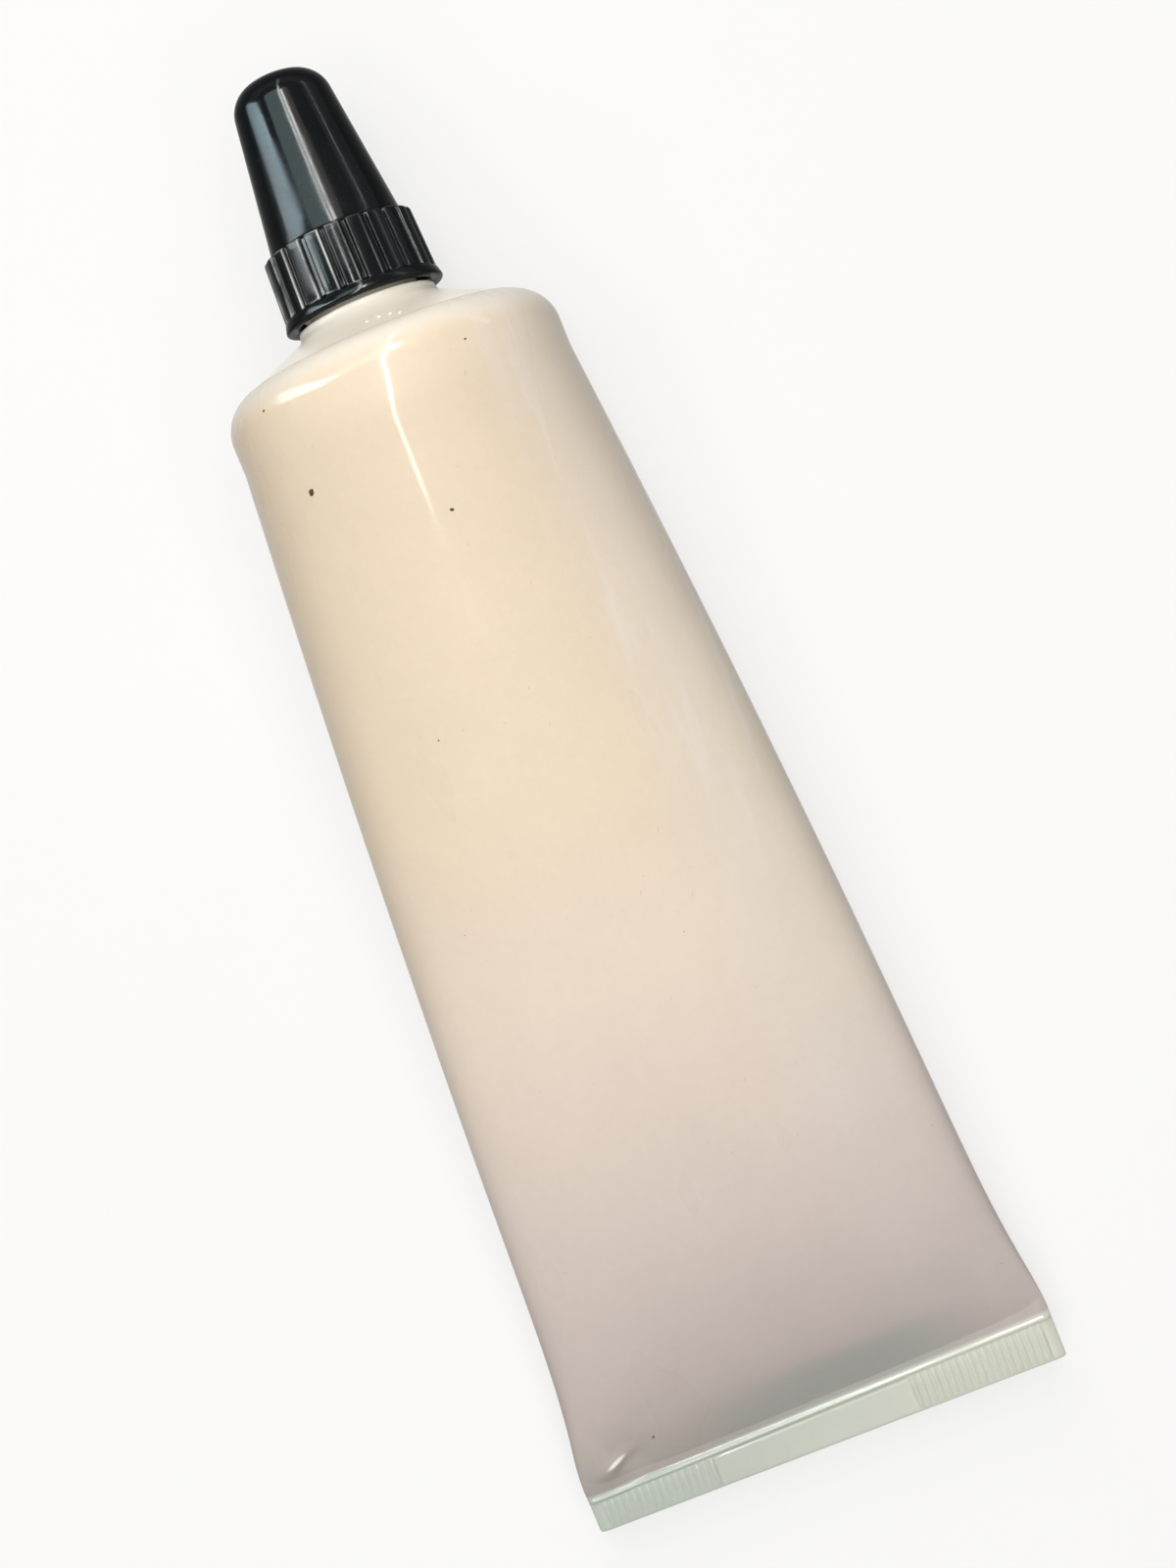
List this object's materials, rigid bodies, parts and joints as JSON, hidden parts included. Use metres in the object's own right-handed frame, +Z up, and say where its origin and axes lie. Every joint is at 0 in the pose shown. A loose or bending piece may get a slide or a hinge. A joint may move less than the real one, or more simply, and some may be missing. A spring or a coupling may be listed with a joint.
{
  "type": "tube of grease",
  "caption": "Cream squeeze tube of grease lying flat: soft sleeve with a crimped tail seal, conical shoulder with threaded neck, and a ribbed black cone cap that unscrews.",
  "frame": {"origin": "middle of the footprint, on the surface that the tube lies on", "axes": "+X along the tube's axis towards the cap, +Z up, +Y across the flat tail"},
  "size_m": [0.1564, 0.055, 0.035],
  "materials": {
    "sleeve": "glossy cream polyethylene",
    "shoulder": "satin natural white polyethylene",
    "cap": "glossy black moulded plastic",
    "wad": "white foam liner",
    "foil": "thin peel-off foil",
    "grease": "amber grease, soft and shiny"
  },
  "bodies": {
    "tube": {"tube_sleeve": "sleeve", "shoulder_neck": "shoulder", "foil_seal": "foil", "grease_fill": "grease"},
    "wad": {"sealing_wad": "wad"},
    "cap": {"screw_cap": "cap"}
  },
  "joints": [
    {"name": "cap_rise", "type": "slide", "parent": "tube", "child": "wad", "axis": [1, 0, 0], "range_m": [0, 0.006]},
    {"name": "cap_unscrew", "type": "hinge", "parent": "wad", "child": "cap", "pos_m": [0.05415, 0, 0.0175], "axis": [1, 0, 0], "range_deg": [0, 1080]}
  ],
  "couplings": [
    {"joint": "cap_unscrew", "follows": "cap_rise", "rad_per_m": 3141.6}
  ]
}
